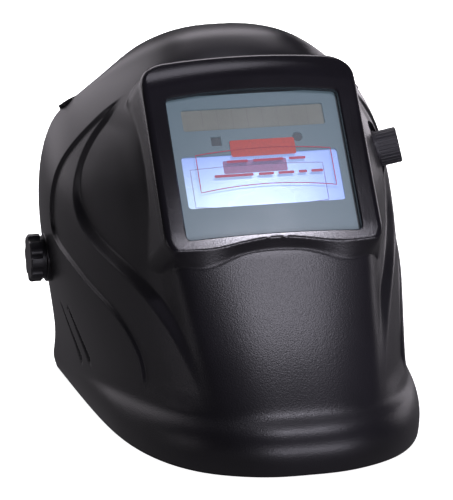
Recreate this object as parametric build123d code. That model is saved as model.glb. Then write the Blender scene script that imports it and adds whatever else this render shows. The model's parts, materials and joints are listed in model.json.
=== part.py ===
"""Auto-darkening welding helmet standing on its chin rim, with filter, controls and headgear.

Millimetres, +Z up, the wearer looks along -Y and their left side is +X.
"""
import math
import os

import numpy as np
from build123d import *

# ---- where the assembly stands -------------------------------------------------------------
SHIFT_Y = 49.6          # puts the middle of the whole footprint over the origin
PIVOT_Y = 18.0          # headgear hinge axis, before the shift
PIVOT_Z = 72.0
HEAD_PITCH = 21.0       # the headgear leans back this much while the helmet stands

# ---- moulded shell --------------------------------------------------------------------------
WALL = 2.5
FACE_WALL = 4.3         # round the window opening
RIDGE_STEP = 1.8        # thin step along the rear side line
BEVEL_STEP = 5.0        # broad bevel in front of it
FACE_TILT = 37.9        # window face leans back from the vertical
FACE_Y = -130.0         # centre of the window face
FACE_Z = 153.0
HOOD_HALF_W = 63.5
HOOD_TOP = 76.5
HOOD_CORNER = 15.0
HOOD_DROP = 7.0         # how far the hood stands proud of the chin
VIEW_W = 102.0          # window opening
VIEW_H = 90.0
VIEW_UP = 2.2           # opening centre above the face centre
VIEW_ARCH = 4.0
SPANS_ACROSS = 40
SPANS_UP = 34

# control rows of the shell: front y, front z, rear-edge half width, rear-edge y, rear-edge z
ROWS = (
    (-229, -1, 99, 20, -4),     # rim
    (-234, 8, 101, 22, 2),      # lip
    (-234, 18, 102, 24, 7),
    (-227, 27, 101, 26, 11),
    (-218, 30, 100, 28, 15),    # crease above the lip
    (-213, 38, 99, 30, 24),
    (-198, 60, 101, 33, 44),    # chin
    (-176, 86, 104, 36, 70),
    (-156, 110, 106, 38, 94),
    (-131, 144, 106, 38, 115),  # behind the window
    (-106, 180, 104, 34, 136),
    (-84, 203, 100, 27, 152),   # brow
    (-66, 215, 96, 18, 163),
    (-32, 225, 91, 8, 170),     # crown
    (22, 210, 87, 4, 172),      # rear rim of the crown
)
# how each section sweeps from the centre to its rear edge: widths, then travel to the rear
SECTIONS = {
    0: ((.20, .40, .59, .76, .88, .94, .97), (.00, .03, .08, .18, .33, .53, .77)),
    4: ((.20, .38, .55, .72, .86, .96, 1.0), (.00, .02, .07, .19, .36, .58, .80)),
    7: ((.20, .38, .55, .70, .85, .98, 1.03), (.00, .01, .04, .13, .32, .56, .80)),
    9: ((.20, .40, .57, .68, .81, .95, 1.03), (.00, .00, .02, .09, .27, .50, .76)),
    10: ((.20, .40, .56, .66, .79, .92, .99), (.00, .01, .03, .11, .31, .55, .80)),
    12: ((.14, .28, .42, .58, .74, .87, .95), (.01, .04, .12, .28, .48, .68, .86)),
    14: ((.13, .27, .42, .57, .70, .82, .92), (.00, .04, .13, .28, .50, .74, .88)),
}
# side lines in the side view (y, z), top to bottom
REAR_LINE = ((-120, 260), (-66, 192), (-42, 163), (-16, 138), (-10, 112), (-12, 93), (-44, 88),
             (-84, 76), (-116, 70), (-146, 52), (-152, 36), (-156, 10), (-160, -60))
FRONT_LINE = ((-90, 250), (-58, 182), (-44, 160), (-43, 130), (-54, 112), (-84, 100), (-116, 94),
              (-144, 84), (-168, 70), (-186, 52), (-202, 34), (-212, 5), (-220, -60))

# ---- cartridge and its holder, in the window face frame (across, up, out) -------------------
POCKET = (-58.5, 58.5, -45.0, 52.0)
CASE = (-56.0, 56.0, -44.3, 50.5)
CASE_WALL = 1.6
SHUTTER = (-46.0, 46.0, -21.0, 12.0)
SOLAR = (-42.0, 42.0, 28.0, 42.0)
SENSOR_P = 24.0
SENSOR_Q = 20.8
DIAL_P = 16.0           # the two dials on the inner face
DIAL_Q = 32.0
DIAL_R = 7.0
LATCH_P = 34.0
LATCH_Q = 58.0

# ---- shade knob ------------------------------------------------------------------------------
SHADE_AT = (83.5, -54.0, 142.0)
SHADE_AXIS = (0.95, -0.22, 0.222)
SHADE_R = 10.8
SHADE_LEN = 14.8

# ---- headgear --------------------------------------------------------------------------------
BOLT_R = 4.0
BOLT_PLAY = 0.05
TENSION_R = 14.8
TENSION_LEN = 10.0
SEAT_OUT = 106.6        # outer face of the pivot boss
SEAT_IN = 100.8
STOP_R = 21.0           # stop peg to hinge axis
STOP_AT = 196.0         # peg direction, degrees from +Y towards +Z
SWING = 60.0
HOOP_X = 94.6
HOOP_Y = 99.0
HOOP_T = 2.2
HOOP_H = 27.0
STRAP_W = 22.0
STRAP_T = 1.8
CROWN_H = 90.0
RIVET_Z = 13.2
RACK_TRAVEL = 12.0
RACK_PITCH = 4.0
PINION_TEETH = 7
RACK_H = 16.0
TAIL_Y = 94.0           # plane of the left tail end; the right one runs one layer further back
LAYER = 2.2
HOUSING_W = 68.0
HOUSING_H = 40.0
NAPE_KNOB_R = 17.0


# ---- shell surface ---------------------------------------------------------------------------
def spline_weights(count, where):
    """Clamped cubic B-spline weights of `count` control values at the parameters `where`."""
    knots = np.concatenate([np.zeros(3), np.linspace(0, 1, count - 2), np.ones(3)])
    where = np.minimum(where, 1 - 1e-12)
    table = (where[:, None] >= knots[None, :-1]) & (where[:, None] < knots[None, 1:])
    table = table.astype(float)
    for degree in (1, 2, 3):
        raised = np.zeros((len(where), len(knots) - 1 - degree))
        for i in range(raised.shape[1]):
            rise = knots[i + degree] - knots[i]
            fall = knots[i + degree + 1] - knots[i + 1]
            if rise > 0:
                raised[:, i] += (where - knots[i]) / rise * table[:, i]
            if fall > 0:
                raised[:, i] += (knots[i + degree + 1] - where) / fall * table[:, i + 1]
        table = raised
    return table


def control_net():
    """Control points of the smooth shell, mirrored left to right."""
    keys = sorted(SECTIONS)
    table = np.array([SECTIONS[k] for k in keys])
    net = []
    for row, (front_y, front_z, half_w, rear_y, rear_z) in enumerate(ROWS):
        width = [np.interp(row, keys, table[:, 0, i]) for i in range(7)]
        travel = [np.interp(row, keys, table[:, 1, i]) for i in range(7)]
        width = np.array([0] + width + [1])
        travel = np.array([0] + travel + [1])
        y = front_y + (rear_y - front_y) * travel
        z = front_z + (rear_z - front_z) * travel
        side = np.stack([half_w * width, y, z], -1)
        net.append(np.concatenate([side[:0:-1] * (-1, 1, 1), side]))
    return np.array(net)


NET = control_net()


def smooth_shell(us, vs):
    return np.einsum("vi,ijk,uj->vuk", spline_weights(15, vs), NET, spline_weights(17, us))


def outward(us, vs):
    step = 1e-3
    along = smooth_shell(np.clip(us + step, 0, 1), vs) - smooth_shell(np.clip(us - step, 0, 1), vs)
    up = smooth_shell(us, np.clip(vs + step, 0, 1)) - smooth_shell(us, np.clip(vs - step, 0, 1))
    normal = np.cross(along, up)
    return normal / np.linalg.norm(normal, axis=-1, keepdims=True)


def ease(t):
    t = np.clip(t, 0, 1)
    return t * t * (3 - 2 * t)


def signed_distance(y, z, line):
    """Distance in the side view from a smooth line, positive on its rear side."""
    line = np.array(line, float)
    line = spline_weights(len(line), np.linspace(0, 1, 60)) @ line
    nearest = np.full(y.shape, 1e9)
    side = np.ones(y.shape)
    for start, end in zip(line[:-1], line[1:]):
        run = end - start
        t = np.clip(((y - start[0]) * run[0] + (z - start[1]) * run[1]) / (run @ run), 0, 1)
        dy = y - start[0] - t * run[0]
        dz = z - start[1] - t * run[1]
        closer = np.hypot(dy, dz) < nearest
        side = np.where(closer, np.sign(run[0] * dz - run[1] * dy), side)
        nearest = np.where(closer, np.hypot(dy, dz), nearest)
    return nearest * side


def side_recess(points):
    """How far the side panels sit below the rear layer."""
    half = np.abs(points[..., 0])
    y = points[..., 1]
    z = points[..., 2]
    rear = ease((signed_distance(y, z, REAR_LINE) + 1.1) / 2.2)
    front = ease((signed_distance(y, z, FRONT_LINE) + 4.5) / 6.0)
    on_side = ease((half - 44 - (z - 36) * 0.12) / 20)
    below_crown = 1 - ease((z - 168) / 22)
    above_lip = ease((z - 30) / 12)
    front_step = 1 + (BEVEL_STEP - 1) * ease((z - 28) / 60) * (1 - 0.9 * ease((z - 100) / 45))
    depth = RIDGE_STEP * (1 - rear) + front_step * (1 - front)
    return on_side * below_crown * above_lip * depth


def face_axes():
    tilt = math.radians(FACE_TILT)
    up = np.array([0, math.sin(tilt), math.cos(tilt)])
    out = np.array([0, -math.cos(tilt), math.sin(tilt)])
    return np.array([0, FACE_Y, FACE_Z]), up, out


def raise_hood(points):
    """Lift the points inside the hood outline up to the flat window face."""
    centre, up, out = face_axes()
    rel = points - centre
    half = np.abs(rel[..., 0])
    q = rel @ up
    w = rel @ out
    face_end = -44.2 - 5.0 * ease(half / 42)
    foot = -51.0 - 6.8 * np.exp(-((half - 38) / 15.0) ** 2)
    roll = -np.clip(q - 60 + 5.5 * (half / 56) ** 2, 0, None) ** 2 / 60
    bevel = -HOOD_DROP * np.clip((face_end - q) / (face_end - foot), 0, 4)
    top = HOOD_TOP - 2.0 * (half / 50) ** 2
    beyond = np.where(q > 0, q - top + HOOD_CORNER, foot - 3 + HOOD_CORNER - q)
    across = np.clip(half - HOOD_HALF_W + HOOD_CORNER, 0, None)
    outside = np.hypot(across, np.clip(beyond, 0, None)) - HOOD_CORNER
    edge = -1.2 * ease((outside + 4) / 4) - 6 * np.clip(outside, 0, None)
    height = roll + bevel + edge
    mix = np.clip(0.5 + 0.5 * (height - w) / 1.2, 0, 1)
    lift = (height - w) * mix + 1.2 * mix * (1 - mix)
    lift = np.where((q > 100) | (q < -85) | (outside > 12), 0, lift)
    return points + out * lift[..., None]


def patch_net(samples):
    """Control net of a cubic surface through the border samples and smooth inside."""
    first = 2 * samples[:1] - samples[1:2]
    last = 2 * samples[-1:] - samples[-2:-1]
    tall = np.concatenate([first, samples, last], 0)
    first = 2 * tall[:, :1] - tall[:, 1:2]
    last = 2 * tall[:, -1:] - tall[:, -2:-1]
    return np.concatenate([first, tall, last], 1)


TO_BEZIER = np.array([[1, 4, 1, 0], [0, 4, 2, 0], [0, 2, 4, 0], [0, 1, 4, 1]]) / 6


def vectors(rows):
    return [[Vector(*p) for p in row] for row in rows]


def patches(samples):
    net = patch_net(samples)
    faces = []
    for i in range(samples.shape[0] - 1):
        for j in range(samples.shape[1] - 1):
            block = np.einsum("ai,ijk,bj->abk", TO_BEZIER, net[i:i + 4, j:j + 4], TO_BEZIER)
            faces.append(Face.make_bezier_surface(vectors(block)))
    return faces


def border(samples):
    """Bezier segments of the four borders, in a fixed order."""
    net = patch_net(samples)
    segments = []
    for line in (net[1], net[-2], net[:, 1], net[:, -2]):
        for j in range(len(line) - 3):
            segments.append(TO_BEZIER @ line[j:j + 4])
    return segments


def moulded_skin():
    us = np.linspace(0, 1, SPANS_ACROSS + 1)
    vs = np.linspace(0, 1, SPANS_UP + 1)
    smooth = smooth_shell(us, vs)
    normal = outward(us, vs)
    sunk = smooth - normal * side_recess(smooth)[..., None]
    outer = raise_hood(sunk)
    inner = sunk - WALL * normal
    faces = patches(outer) + patches(inner)
    for a, b in zip(border(outer), border(inner)):
        faces.append(Face.make_bezier_surface(vectors([a, b])))
    return Solid(Shell(faces))


# ---- small helpers ---------------------------------------------------------------------------
def face_frame():
    centre, up, out = face_axes()
    return Plane(origin=tuple(centre), x_dir=(1, 0, 0), z_dir=tuple(out))


def on_face(shape):
    return shape.moved(face_frame().location)


def slab(p0, p1, q0, q1, w0, w1, radius=0.0):
    """Plate in the face frame between two depths, with rounded corners if asked."""
    centre = Pos((p0 + p1) / 2, (q0 + q1) / 2, min(w0, w1))
    if radius:
        outline = RectangleRounded(p1 - p0, q1 - q0, radius)
    else:
        outline = Rectangle(p1 - p0, q1 - q0)
    return centre * extrude(outline, amount=abs(w1 - w0))


def disc(p, q, radius, w0, w1):
    return Pos(p, q, min(w0, w1)) * extrude(Circle(radius), amount=abs(w1 - w0))


def along_x(y, z, radius, x0, x1):
    """Round bar along X between two x values."""
    return Pos(x0, y, z) * Rot(0, 90, 0) * extrude(Circle(radius), amount=x1 - x0)


def mirrored(shape):
    return mirror(shape, about=Plane.YZ)


def view_outline(grow=0.0):
    """Window opening: upright sides, arched top, gently bowed bottom."""
    half = VIEW_W / 2 + grow
    top = VIEW_UP + VIEW_H / 2 + grow
    bottom = VIEW_UP - VIEW_H / 2 - grow
    arch = ThreePointArc((-half, top), (0, top + VIEW_ARCH), (half, top))
    right = Line((half, top), (half, bottom))
    bow = ThreePointArc((half, bottom), (0, bottom + 1.6), (-half, bottom))
    left = Line((-half, bottom), (-half, top))
    outline = make_face([arch, right, bow, left])
    return fillet(outline.vertices(), 3.0)


# ---- shell -----------------------------------------------------------------------------------
def shell():
    skin = moulded_skin()
    floor_cut = Pos(0, -100, -25) * Box(400, 500, 50)
    skin = skin - floor_cut
    skin = skin - on_face(slab(*POCKET, -30, -FACE_WALL, 3))
    skin = skin - on_face(Pos(0, 0, -FACE_WALL - 1) * extrude(view_outline(), amount=FACE_WALL + 12))
    for side in (1, -1):
        skin = skin + pivot_boss(side)
    for side in (1, -1):
        hole = along_x(PIVOT_Y, PIVOT_Z, BOLT_R + BOLT_PLAY, 90, 120)
        skin = skin - (hole if side > 0 else mirrored(hole))
        skin = skin + on_face(latch_post(side * LATCH_P)) + on_face(holder_hook(side * 36.0))
    for side in (1, -1):
        recess = along_x(PIVOT_Y, PIVOT_Z, 14.4, 92, SEAT_IN) - stop_peg()
        skin = skin - (recess if side > 0 else mirrored(recess))
    seat = Pos(0, 0, -4) * extrude(RectangleRounded(35, 26, 12.5), amount=5.6)
    clear = Pos(0, 0, 1.6) * extrude(RectangleRounded(36, 27, 13), amount=12)
    skin = skin + on_shade(seat) - on_shade(clear)
    return skin - on_shade(disc(0, 0, 3.6, -12, 6))


def pivot_boss(side):
    """Round seat for the tension knob with the stop peg inside."""
    both = along_x(PIVOT_Y, PIVOT_Z, 15.2, SEAT_IN, SEAT_OUT) + stop_peg()
    return both if side > 0 else mirrored(both)


def stop_peg():
    angle = math.radians(STOP_AT)
    peg_y = PIVOT_Y + STOP_R * math.cos(angle)
    peg_z = PIVOT_Z + STOP_R * math.sin(angle)
    return along_x(peg_y, peg_z, 2.0, 96.3, 101.5)


def latch_post(p):
    post = disc(p, LATCH_Q, 4.0, -19.2, -6.0)
    return post - disc(p, LATCH_Q, 1.6, -19.2, -12.0)


def holder_hook(p):
    leg = slab(p - 7, p + 7, -57.5, -53.5, -21.6, -7.5)
    lip = slab(p - 7, p + 7, -57.5, -48.5, -21.6, -19.4)
    return leg + lip


def shade_plane():
    return Plane(origin=SHADE_AT, x_dir=(0.2277, 0, -0.974), z_dir=SHADE_AXIS)


def on_shade(shape):
    return shape.moved(shade_plane().location)


# ---- window stack ----------------------------------------------------------------------------
def front_cover_lens():
    return on_face(slab(-57.5, 57.5, -44.6, 51.4, -5.5, -4.5, 3))


def protective_film():
    sheet = slab(-55.0, 55.0, -43.8, 50.0, -5.8, -5.55, 3)
    tab = slab(38.0, 54.0, -44.2, -30.0, -5.8, -5.55, 3)
    return on_face(sheet + tab)


def filter_case_front():
    p0, p1, q0, q1 = CASE
    body = slab(p0, p1, q0, q1, -10.4, -6.0, 4)
    room = slab(p0 + CASE_WALL, p1 - CASE_WALL, q0 + CASE_WALL, q1 - CASE_WALL, -10.4, -7.6, 2.5)
    body = body - room - slab(*SHUTTER, -8, -5, 2) - slab(*SOLAR, -8, -5, 1.5)
    body = body - Pos(-SENSOR_P, SENSOR_Q, -8) * extrude(Rectangle(6, 6), amount=3)
    body = body - disc(SENSOR_P, SENSOR_Q, 3.0, -8, -5)
    return on_face(body)


def filter_case_rear():
    p0, p1, q0, q1 = CASE
    body = slab(p0, p1, q0, q1, -15.0, -10.5, 4)
    room = slab(p0 + CASE_WALL, p1 - CASE_WALL, q0 + CASE_WALL, q1 - CASE_WALL, -14.2, -10.5, 2.5)
    body = body - room - slab(*SHUTTER, -16, -13, 2)
    for p in (-DIAL_P, DIAL_P):
        body = body - disc(p, DIAL_Q, 3.05, -16, -13)
    for low in (-26.9, 16.5):
        body = body + slab(-51, 51, low, low + 1.4, -16.6, -15.0)
    return on_face(body)


def filter_glass():
    return on_face(slab(-47.6, 47.6, -22.6, 13.6, -8.5, -7.7))


def lcd_shutter():
    return on_face(slab(-47.6, 47.6, -22.6, 13.6, -13.9, -8.6))


def solar_panel():
    return on_face(slab(-43.5, 43.5, 26.6, 43.4, -8.9, -7.7))


def arc_sensor(side):
    if side < 0:
        body = Pos(-SENSOR_P, SENSOR_Q, -9.2) * extrude(Rectangle(5.6, 5.6), amount=2.4)
    else:
        body = disc(SENSOR_P, SENSOR_Q, 2.8, -9.2, -6.6)
    return on_face(body)


def circuit_board():
    board = slab(-53.5, 53.5, 15.0, 48.0, -10.9, -9.3, 2)
    for p in (-DIAL_P, DIAL_P):
        board = board - disc(p, DIAL_Q, 1.6, -12, -9)
    return on_face(board)


def battery(p):
    return on_face(disc(p, 32.0, 10.0, -14.1, -11.0))


def dial_potentiometer(p):
    body = slab(p - 5.5, p + 5.5, DIAL_Q - 5.5, DIAL_Q + 5.5, -14.1, -11.0, 1)
    return on_face(body - disc(p, DIAL_Q, 3.05, -14.1, -11.6))


def dial(p):
    """Fluted knob with a pointer rib and a stem into its potentiometer."""
    cap = disc(p, DIAL_Q, DIAL_R, -21.4, -15.3)
    for k in range(12):
        angle = math.radians(30 * k + 15)
        cap = cap - disc(p + 7.6 * math.cos(angle), DIAL_Q + 7.6 * math.sin(angle), 1.2, -22, -15)
    cap = cap - slab(p - 0.5, p + 0.5, DIAL_Q + 1, DIAL_Q + 8, -21.5, -20.9)
    return on_face(cap + disc(p, DIAL_Q, 3.0, -15.3, -11.7))


def inner_cover_lens():
    return on_face(slab(-50.0, 50.0, -25.3, 16.3, -16.1, -15.1, 1.5))


def holder_frame():
    """Frame behind the cartridge that the hooks and latches press home."""
    rim = slab(-57.5, 57.5, -52.6, 51.4, -19.2, -16.8, 4)
    rim = rim - slab(-51.5, 51.5, -42.5, 45.0, -20, -16, 3)
    for p in (-58.5, 55.7):
        rim = rim - slab(p, p + 2.8, -54, -43.5, -20, -16)
    for p in (-56.2, 54.4):
        rim = rim + slab(p, p + 1.8, -30, 40, -16.8, -15.2)
    return on_face(rim)


def holder_latch(p):
    bar = slab(p - 4, p + 4, LATCH_Q - 12, LATCH_Q + 5, -22.0, -19.4, 3.5)
    ear = slab(p - 1.2, p + 1.2, LATCH_Q - 11, LATCH_Q - 4, -24.5, -22.0)
    return on_face(bar + ear - disc(p, LATCH_Q, 1.66, -23, -19))


def latch_screw(p):
    head = disc(p, LATCH_Q, 3.2, -24.0, -22.1)
    head = head - slab(p - 2.4, p + 2.4, LATCH_Q - 0.4, LATCH_Q + 0.4, -24.1, -23.2)
    return on_face(head + disc(p, LATCH_Q, 1.6, -22.1, -12.2))


# ---- shade control ---------------------------------------------------------------------------
def shade_backplate():
    plate = Pos(0, 0, 1.7) * extrude(RectangleRounded(34, 25, 12), amount=1.3)
    return on_shade(plate - disc(0, 0, 3.6, 0, 4))


def shade_knob():
    cap = disc(0, 0, SHADE_R, 3.2, 3.2 + SHADE_LEN)
    cap = chamfer(cap.edges().group_by(Axis.Z)[-1], 0.8)
    cap = cap + disc(0, 0, SHADE_R + 0.6, 3.2, 4.8)
    for k in range(30):
        angle = math.radians(12 * k)
        x = (SHADE_R + 0.35) * math.cos(angle)
        y = (SHADE_R + 0.35) * math.sin(angle)
        cap = cap - disc(x, y, 0.7, 5.6, 24)
    cap = cap - disc(0, 0, 3.0, 3.0, 12.0)
    return on_shade(cap - slab(-9.0, -4.5, -0.5, 0.5, 2.6 + SHADE_LEN, 24))


def shade_shaft():
    return on_shade(disc(0, 0, 3.0, -6.0, 12.0))


def shade_nut():
    nut = Pos(0, 0, -6.4) * extrude(RegularPolygon(6.2, 6), amount=2.4)
    return on_shade(nut - disc(0, 0, 3.55, -8, -3))


def shade_potentiometer():
    bush = disc(0, 0, 3.5, -6.6, 2.6) - disc(0, 0, 3.05, -6.0, 4)
    can = disc(0, 0, 8.5, -14.0, -6.6)
    lugs = slab(7.5, 12.0, -5, 5, -11.5, -10.5)
    return on_shade(can + bush + lugs)


# ---- headgear --------------------------------------------------------------------------------
def worn(shape):
    """From the headgear's own frame (hinge axis at the origin) to where it stands."""
    return shape.moved(Location((0, PIVOT_Y, PIVOT_Z)) * Location((0, 0, 0), (-HEAD_PITCH, 0, 0)))


def tension_knob(side):
    grip = along_x(PIVOT_Y, PIVOT_Z, TENSION_R, SEAT_OUT + 2.6, SEAT_OUT + TENSION_LEN)
    for k in range(8):
        angle = math.radians(45 * k + 22.5)
        y = PIVOT_Y + 17.0 * math.cos(angle)
        z = PIVOT_Z + 17.0 * math.sin(angle)
        grip = grip - along_x(y, z, 4.0, SEAT_OUT + 2, SEAT_OUT + TENSION_LEN + 1)
    outer_face = grip.faces().sort_by(Axis.X)[-1]
    grip = chamfer(outer_face.edges(), 0.8)
    flange = along_x(PIVOT_Y, PIVOT_Z, 13.2, SEAT_OUT + 0.1, SEAT_OUT + 2.6)
    bore = along_x(PIVOT_Y, PIVOT_Z, BOLT_R + BOLT_PLAY, SEAT_OUT, SEAT_OUT + TENSION_LEN - 1.4)
    knob = grip + flange - bore
    return knob if side > 0 else mirrored(knob)


def pivot_bolt():
    head = Pos(91.6, 0, 0) * Box(3.0, 14, 14)
    return worn(head + along_x(0, 0, BOLT_R, 93.1, SEAT_OUT + TENSION_LEN - 1.8))


def friction_washer():
    ring = along_x(0, 0, 13.5, 98.8, SEAT_IN - 0.1) - along_x(0, 0, BOLT_R + 0.1, 98, SEAT_IN + 1)
    return worn(ring)


def stop_plate():
    """Limits how far the shell tips up: a fan with an arc slot round the shell's peg."""
    middle = STOP_AT + HEAD_PITCH - SWING / 2
    hub = along_x(0, 0, 13.0, 96.2, 98.6)
    fan = Pos(96.2, 0, 0) * Rot(0, 90, 0) * Rot(0, 0, 0) * extrude(fan_outline(middle), amount=2.4)
    plate = hub + fan - along_x(0, 0, BOLT_R + 0.1, 95, 100)
    return worn(plate)


def polar(radius, angle):
    """Point of the side view drawn on a plane turned to face +X: (-z, y)."""
    a = math.radians(angle)
    return (-radius * math.sin(a), radius * math.cos(a))


def fan_outline(middle):
    half = SWING / 2 + 17
    rim = ThreePointArc(polar(26.5, middle - half), polar(26.5, middle), polar(26.5, middle + half))
    spokes = [Line(polar(26.5, middle + half), (0, 0)), Line((0, 0), polar(26.5, middle - half))]
    fan = make_face([rim] + spokes)
    reach = SWING / 2 + 2
    path = ThreePointArc(polar(STOP_R, middle - reach), polar(STOP_R, middle), polar(STOP_R, middle + reach))
    slot = SlotArc(path, 5.2)
    return fan - slot


def hoop_point(turn, grow=0.0):
    """Point of the band in plan; 0 is the forehead, 90 the left side."""
    a = math.radians(turn)
    return ((HOOP_X + grow) * math.sin(a), -(HOOP_Y + grow) * math.cos(a))


def hoop_strip(start, end, grow, thickness, height, low):
    turns = [start + (end - start) * k / 12 for k in range(13)]
    line = Spline([hoop_point(t, grow) for t in turns])
    return Pos(0, 0, low) * extrude(trace(line, thickness), amount=height)


def hoop_tail(side):
    """Band from behind the ear to its flat end beside the nape, with the guide for the rack."""
    y = TAIL_Y if side > 0 else TAIL_Y + LAYER
    start = hoop_point(120)
    a = math.radians(120)
    leaving = (HOOP_X * math.cos(a), HOOP_Y * math.sin(a))
    bend = Spline([start, (54, y)], tangents=[leaving, (-1, 0)])
    flat = Line((54, y), (37, y))
    tail = Pos(0, 0, -9) * extrude(trace([bend, flat], HOOP_T), amount=18)
    guide = Pos(46, y + 1.1, 0) * Box(8, 6.8, 21)
    guide = guide - Pos(46, y + LAYER, 0) * Box(9, 2.1, RACK_H + 0.4)
    tail = tail + guide
    return tail if side > 0 else mirrored(tail)


def headband():
    """Open hoop with two ear plates and a flat tail end on each side of the nape."""
    hoop = hoop_strip(-120, 120, 0, HOOP_T, HOOP_H, -10)
    for side in (1, -1):
        ear = along_x(0, 0, 16.5, HOOP_X - 1.1, HOOP_X + 1.4)
        hole = along_x(0, 0, BOLT_R + 0.1, 80, 110)
        rivet = along_x(0, RIVET_Z, 2.05, 80, 110)
        cut = hole + rivet
        hoop = hoop + (ear if side > 0 else mirrored(ear)) + hoop_tail(side)
        hoop = hoop - (cut if side > 0 else mirrored(cut))
    return worn(hoop)


def crown_strap(side):
    """Half of the strap over the head, riveted to the band and pinned to its other half."""
    rise = CROWN_H - 8 + (0 if side > 0 else LAYER)
    points = []
    for k in range(13):
        t = math.radians(4 + 8.6 * k)
        points.append((91.7 * math.cos(t), 8 + rise * math.sin(t)))
    foot = Line((91.7, 9.3), points[0])
    strip = trace([foot, Spline(points)], STRAP_T)
    strap = Pos(0, STRAP_W / 2, 0) * Rot(90, 0, 0) * extrude(strip, amount=STRAP_W)
    strap = strap - along_x(0, RIVET_Z, 2.05, 85, 96)
    for x in (-6, 6):
        strap = strap - Pos(x, 0, CROWN_H - 6) * extrude(Circle(2.05), amount=14)
    return worn(strap if side > 0 else mirrored(strap))


def strap_rivet(side):
    rivet = along_x(0, RIVET_Z, 2.0, 90.1, 95.5) + along_x(0, RIVET_Z, 3.6, 88.7, 90.1)
    return worn(rivet if side > 0 else mirrored(rivet))


def crown_pin(x):
    shank = Pos(x, 0, CROWN_H - 2.1) * extrude(Circle(2.0), amount=6.0)
    head = Pos(x, 0, CROWN_H + 3.4) * extrude(Circle(4.0), amount=1.4)
    return worn(shank + head)


def sweatband():
    return worn(hoop_strip(-74, 74, -4.5, 6.0, 31, -12))


def rear_pad():
    pad = Pos(0, 87.4, 0) * Box(62, 6.4, 34)
    return worn(fillet(pad.edges().filter_by(Axis.Y), 6))


def housing_box(y0, y1):
    shape = extrude(RectangleRounded(HOUSING_W, HOUSING_H, 9), amount=y1 - y0)
    return Pos(0, y1, 0) * Rot(90, 0, 0) * shape


def back_bar(x, z, radius, y0, y1):
    """Round bar along Y."""
    return Pos(x, y1, z) * Rot(90, 0, 0) * extrude(Circle(radius), amount=y1 - y0)


def nape_housing_inner():
    plate = housing_box(91.0, 95.1)
    for x in (-28, 28):
        plate = plate - back_bar(x, 14, 1.6, 90, 96) - back_bar(x, 14, 2.9, 90, 92.6)
    return worn(plate - back_bar(0, 0, 2.05, 93, 96))


def nape_housing_outer():
    cover = housing_box(95.2, 104.0)
    cover = cover - Pos(0, 97.35, 0) * Box(90, 4.5, RACK_H + 0.6)
    cover = cover - back_bar(0, 0, 4.06, 95, 105)
    for x in (-28, 28):
        cover = cover - back_bar(x, 14, 1.3, 95, 101.2)
    return worn(cover)


def housing_screw(x):
    screw = back_bar(x, 14, 1.25, 92.5, 101.0) + back_bar(x, 14, 2.7, 91.1, 92.5)
    return worn(screw)


def nape_pinion():
    """Small toothed wheel with the shaft that carries the nape knob."""
    wheel = Circle(3.6)
    for k in range(PINION_TEETH):
        angle = 360 * k / PINION_TEETH - 90
        tooth = Polygon((3.0, -1.1), (5.2, -0.45), (5.2, 0.45), (3.0, 1.1), align=None)
        wheel = wheel + Rot(0, 0, angle) * tooth
    wheel = Pos(0, 99.3, 0) * Rot(90, 0, 0) * extrude(wheel, amount=4.0)
    return worn(wheel + back_bar(0, 0, 4.0, 99.3, 110.0) + back_bar(0, 0, 2.0, 93.2, 95.3))


def nape_knob():
    cap = back_bar(0, 0, NAPE_KNOB_R, 106.4, 118.0)
    for k in range(12):
        angle = math.radians(30 * k)
        x = (NAPE_KNOB_R + 1.6) * math.cos(angle)
        z = (NAPE_KNOB_R + 1.6) * math.sin(angle)
        cap = cap - back_bar(x, z, 3.0, 106, 119)
    cap = chamfer(cap.faces().sort_by(Axis.Y)[-1].edges(), 0.8)
    cap = cap + back_bar(0, 0, 14.0, 104.2, 106.4) - back_bar(0, 0, 4.0, 104, 110.1)
    return worn(cap)


def rack_tooth(x, up):
    if up > 0:
        corners = ((x - 0.45, 4.0), (x + 0.45, 4.0), (x + 1.1, 5.9), (x - 1.1, 5.9))
    else:
        corners = ((x - 1.1, -5.9), (x + 1.1, -5.9), (x + 0.45, -4.0), (x - 0.45, -4.0))
    return Polygon(*corners, align=None)


def rack(side):
    """Straight toothed tail; the left one is driven along its lower teeth, the right its upper."""
    strip = Pos(24, 0) * Rectangle(76, RACK_H)
    strip = strip - Pos(6, 0) * Rectangle(26, 11.4)
    offset = RACK_PITCH / 2 if side > 0 else 0
    for k in range(-1, 5):
        x = RACK_PITCH * k + offset
        strip = strip + rack_tooth(x, -1 if side > 0 else 1)
    y = TAIL_Y + LAYER + 0.9 + (0 if side > 0 else LAYER)
    bar = Pos(0, y, 0) * Rot(90, 0, 0) * extrude(strip, amount=1.8)
    return worn(bar if side > 0 else mirrored(bar))


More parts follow.
